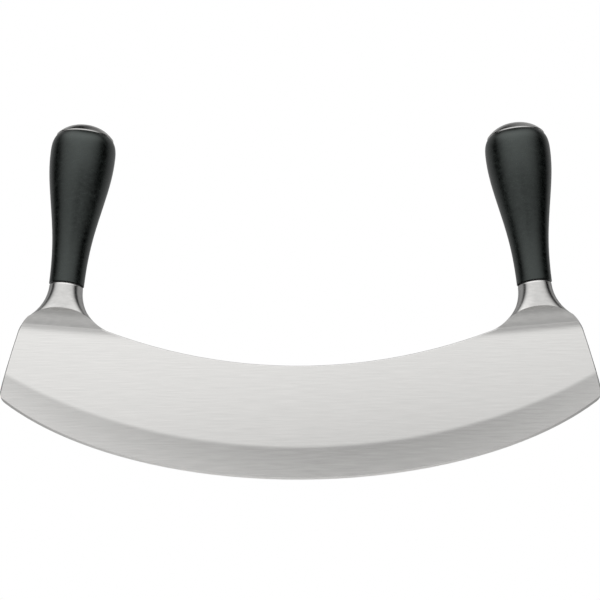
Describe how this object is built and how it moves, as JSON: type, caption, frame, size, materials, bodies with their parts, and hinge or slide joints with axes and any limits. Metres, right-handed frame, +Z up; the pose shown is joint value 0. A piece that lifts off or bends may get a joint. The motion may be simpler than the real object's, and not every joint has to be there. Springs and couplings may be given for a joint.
{
  "type": "mezzaluna",
  "caption": "Rigid crescent rocking knife with a curved cutting edge below, and an upright pear-shaped black grip on a flared steel bolster at each end.",
  "frame": {"origin": "lowest point of the cutting edge, in the middle of the blade's length and thickness", "axes": "+X along the blade to the right, +Y through its thickness from front to back, +Z up towards the grips"},
  "size_m": [0.2803, 0.0312, 0.1739],
  "materials": {
    "blade_steel": "fine brushed along the blade, ground bevel",
    "bolster_steel": "satin ground",
    "cap_steel": "polished",
    "grip_plastic": "satin moulded",
    "seal_rubber": "matt",
    "fixing_steel": "plain zinc"
  },
  "bodies": {
    "root": {"blade": "blade_steel", "left_bolster": "bolster_steel", "right_bolster": "bolster_steel", "left_seal_ring": "seal_rubber", "right_seal_ring": "seal_rubber", "left_tang_stud": "fixing_steel", "right_tang_stud": "fixing_steel", "left_grip": "grip_plastic", "right_grip": "grip_plastic", "left_washer": "fixing_steel", "right_washer": "fixing_steel", "left_tang_nut": "fixing_steel", "right_tang_nut": "fixing_steel", "left_end_cap": "cap_steel", "right_end_cap": "cap_steel"}
  },
  "joints": []
}
